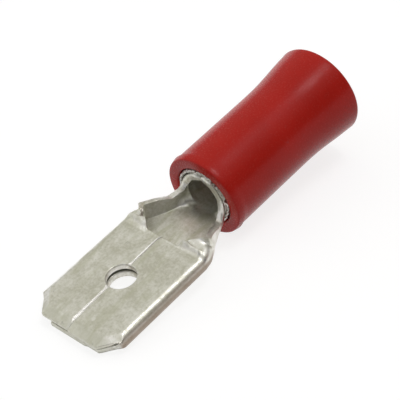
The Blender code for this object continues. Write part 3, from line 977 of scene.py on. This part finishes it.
def swell(s):
    # Past either end it gives the rear's value, which leaves a slight bead behind the front edge
    for (a, va), (b, vb) in zip(FLARE, FLARE[1:]):
        if a <= s <= b:
            return va + (vb - va) * ((s - a) / (b - a))
    return FLARE[-1][1]


def sleeve_profile():
    # From the rounded front edge over the outside, then back through the stepped bore
    out = arc(FRONT_ROUND, SLEEVE_FRONT_R - FRONT_ROUND, FRONT_ROUND, 180.0, 90.0, 6)
    for i in range(1, SLEEVE_ROWS):
        s = i / SLEEVE_ROWS
        x = FRONT_ROUND + (SLEEVE_LENGTH - FRONT_ROUND - REAR_ROUND) * s
        v = sum(swell(s + d) for d in FLARE_BLUR) / len(FLARE_BLUR)
        out.append((x, SLEEVE_FRONT_R + (SLEEVE_REAR_R - SLEEVE_FRONT_R) * v))
    out += arc(SLEEVE_LENGTH - REAR_ROUND, SLEEVE_REAR_R - REAR_ROUND, REAR_ROUND, 90.0, 0.0, 6)
    out += [
        (SLEEVE_LENGTH, REAR_BORE_R + 0.26 * MM),
        (SLEEVE_LENGTH - 0.03 * MM, REAR_BORE_R + 0.20 * MM),
        (SLEEVE_LENGTH - 0.22 * MM, REAR_BORE_R + 0.02 * MM),
        (SLEEVE_LENGTH - 0.5 * MM, REAR_BORE_R),
        (BORE_STEP_X + 1.5 * MM, REAR_BORE_R - 0.10 * MM),
        (BORE_STEP_X + 1.3 * MM, REAR_BORE_R - 0.12 * MM),
        (BORE_STEP_X + 0.05 * MM, BORE_R + 0.01 * MM),
        (BORE_STEP_X - 0.1 * MM, BORE_R),
        (0.12 * MM, BORE_R),
        (0.09 * MM, BORE_R + 0.005 * MM),
        (0.01 * MM, BORE_R + 0.08 * MM),
        (0.0, BORE_R + 0.11 * MM),
    ]
    return out


def sleeve_wobble(x, r, a):
    # Slight unevenness, always inwards
    uneven = noise.noise(Vector((x * 220, 2.2 * math.cos(a), 2.2 * math.sin(a))))
    return x, r - 0.008 * MM * (1 + uneven)


# The ring: a plain tube whose front edge is torn
RING_SIDES = 300
TORN_LENGTH = 0.3 * MM
TORN_LIMIT_X = -0.10 * MM
LOOSE_TURN = 262.0
LOOSE_SPREAD = 16.0
RING_MIDDLE = (SUPPORT_IN + SUPPORT_R) / 2
RING_PROFILE = [
    (0.09 * MM, SUPPORT_R),
    (SUPPORT_END, SUPPORT_R),
    (SUPPORT_END, SUPPORT_IN),
    (0.12 * MM, SUPPORT_IN),
    (0.05 * MM, SUPPORT_IN + 0.02 * MM),
    (0.0, SUPPORT_IN + 0.08 * MM),
    (0.01 * MM, RING_MIDDLE),
    (0.0, SUPPORT_R - 0.07 * MM),
    (0.04 * MM, SUPPORT_R - 0.015 * MM),
]


def ring_wobble(x, r, a):
    # Torn front edge: uneven reach, small folds, and a stretch on the right that stands off the bore
    if x >= TORN_LENGTH:
        return x, r
    d = Vector((math.cos(a), math.sin(a), 0.0))
    slow = noise.noise(d * 3.0)
    fine = noise.noise(d * 11.0 + Vector((4.0, 1.0, 0.0)))
    burr = noise.noise(d * 26.0 + Vector((2.0, 7.0, 0.0)))
    loose = math.exp(-((math.degrees(a) - LOOSE_TURN) / LOOSE_SPREAD) ** 2)
    x += (0.06 * slow + 0.12 * fine + 0.09 * burr + 0.10 * loose) * MM
    thin = min(max(0.72 + 0.7 * fine + 0.7 * burr, 0.25), 1.0)
    r = RING_MIDDLE + (r - RING_MIDDLE) * thin + (0.03 * fine - 0.02 * burr - 0.10 * loose) * MM
    return max(x, TORN_LIMIT_X), min(max(r, SUPPORT_IN), SUPPORT_R)


terminal = build_sheet()
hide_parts("blade_terminal")
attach(terminal, "root")

sleeve = turned("red_sleeve", sleeve_profile(), SLEEVE_SIDES, red, sleeve_wobble)
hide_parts("insulating_sleeve")
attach(sleeve, "root")

ring = turned("torn_support_ring", RING_PROFILE, RING_SIDES, torn_edge, ring_wobble)
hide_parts("support_sleeve")
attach(ring, "root")

# The floor: white with a soft shadow for the rays that see the background, plain for the rest
FLOOR_REACH = 0.6
FLOOR_DROP = 0.02 * MM
FLOOR_SHADOW = (0.30, 0.30, 0.30, 1.0)
FLOOR_WHITE = (1.0, 1.0, 1.0, 1.0)
FLOOR_GLOW = 0.80
FLOOR_PLAIN = (0.62, 0.60, 0.58, 1.0)


def floor_material():
    mat = bpy.data.materials.new("pale_floor")
    mat.use_nodes = True
    nt = mat.node_tree
    nt.nodes.remove(nt.nodes["Principled BSDF"])
    shadow = node(nt, "ShaderNodeBsdfDiffuse")
    shadow.inputs["Color"].default_value = FLOOR_SHADOW
    glow = node(nt, "ShaderNodeEmission")
    glow.inputs["Color"].default_value = FLOOR_WHITE
    glow.inputs["Strength"].default_value = FLOOR_GLOW
    white = node(nt, "ShaderNodeAddShader")
    link(nt, shadow.outputs[0], white.inputs[0])
    link(nt, glow.outputs[0], white.inputs[1])
    plain = node(nt, "ShaderNodeBsdfDiffuse")
    plain.inputs["Color"].default_value = FLOOR_PLAIN
    pick = node(nt, "ShaderNodeMixShader")
    link(nt, background_rays(nt), pick.inputs[0])
    link(nt, plain.outputs[0], pick.inputs[1])
    link(nt, white.outputs[0], pick.inputs[2])
    link(nt, pick.outputs[0], nt.nodes["Material Output"].inputs["Surface"])
    return mat


def build_floor():
    bm = bmesh.new()
    bmesh.ops.create_grid(bm, x_segments=1, y_segments=1, size=FLOOR_REACH)
    mesh = bpy.data.meshes.new("floor")
    bm.to_mesh(mesh)
    bm.free()
    mesh.materials.append(floor_material())
    obj = bpy.data.objects.new("floor", mesh)
    obj.location = (0.0, 0.0, -FLOOR_DROP)
    scene.collection.objects.link(obj)
    return obj


floor = build_floor()

# The studio: bright ceiling, paler left, darker right, window at the front left, strip and lamp above
CEILING = (0.612, 0.607, 0.551)
LEFT_WALL = (0.32, 0.315, 0.345)
RIGHT_FRONT = (0.070, 0.068, 0.078)
RIGHT_REAR_LOW = (0.14, 0.095, 0.072)
RIGHT_REAR_HIGH = (0.25, 0.175, 0.135)
WINDOW = (1.35, 1.34, 1.36)
STRIP = (0.95, 0.94, 0.97)
LAMP = (14.0, 13.9, 14.1)
BACKDROP = (1.0, 1.0, 1.0)
BACKDROP_TOP = 0.14
BACKDROP_END = 0.19
STRIP_Y = -0.14
LAMP_X = 0.17
LAMP_Y = -0.21


def build_world():
    world = bpy.data.worlds.new("studio")
    scene.world = world
    world.use_nodes = True
    nt = world.node_tree
    coord = node(nt, "ShaderNodeTexCoord")
    split = node(nt, "ShaderNodeSeparateXYZ")
    link(nt, coord.outputs["Generated"], split.inputs[0])
    x = split.outputs["X"]
    y = split.outputs["Y"]
    z = split.outputs["Z"]
    right_side = mix_colour(nt, ease(nt, z, 0.0, 0.5), RIGHT_REAR_LOW, RIGHT_REAR_HIGH)
    right_side = mix_colour(nt, ease(nt, x, 0.05, 0.30), RIGHT_FRONT, right_side)
    leftward = weighted(nt, (y, 0.80), (x, 0.45))
    light = mix_colour(nt, ease(nt, leftward, -0.45, 0.30), right_side, LEFT_WALL)
    upward = weighted(nt, (z, 1.0), (y, 0.22), (x, 0.15))
    light = mix_colour(nt, ease(nt, upward, 0.53, 0.65), light, CEILING)
    frontward = weighted(nt, (y, 0.80), (x, -0.60))
    window = maths(nt, "MULTIPLY", ease(nt, frontward, 0.60, 0.79), ease(nt, z, 0.25, 0.50))
    light = mix_colour(nt, window, light, WINDOW)
    overhead = ease(nt, z, 0.60, 0.75)
    strip = maths(nt, "MULTIPLY", near(nt, y, STRIP_Y, outer=0.30, inner=0.12), overhead)
    light = mix_colour(nt, strip, light, STRIP)
    lamp = maths(nt, "MULTIPLY", near(nt, x, LAMP_X, outer=0.080, inner=0.040),
                 near(nt, y, LAMP_Y, outer=0.16, inner=0.08))
    light = mix_colour(nt, maths(nt, "MULTIPLY", lamp, overhead), light, LAMP)
    # Low all round is the white backdrop, which camera, glossy and transmission rays see alike
    low = remap(nt, z, BACKDROP_TOP, BACKDROP_END, 1.0, 0.0, "SMOOTHSTEP")
    seen = maths(nt, "MULTIPLY", background_rays(nt), low)
    background = nt.nodes["Background"]
    link(nt, mix_colour(nt, seen, light, BACKDROP), background.inputs["Color"])
    background.inputs["Strength"].default_value = 1.0


# Camera at the photograph's viewing angle
CAMERA_PLACE = Vector((-42.9128, -44.0879, 51.8544)) * MM
CAMERA_TURN = (51.048343, 4.690865, -47.862763)
CAMERA_LENS = 126.6479


def build_camera():
    data = bpy.data.cameras.new("camera")
    data.sensor_width = 36.0
    data.lens = CAMERA_LENS
    data.clip_start = 0.001
    data.clip_end = 10.0
    camera = bpy.data.objects.new("camera", data)
    scene.collection.objects.link(camera)
    turn = Euler([math.radians(a) for a in CAMERA_TURN], "XYZ").to_matrix().to_4x4()
    camera.matrix_world = Matrix.Translation(CAMERA_PLACE) @ turn
    scene.camera = camera


build_world()
build_camera()
scene.view_settings.view_transform = "Standard"

bpy.context.view_layer.update()
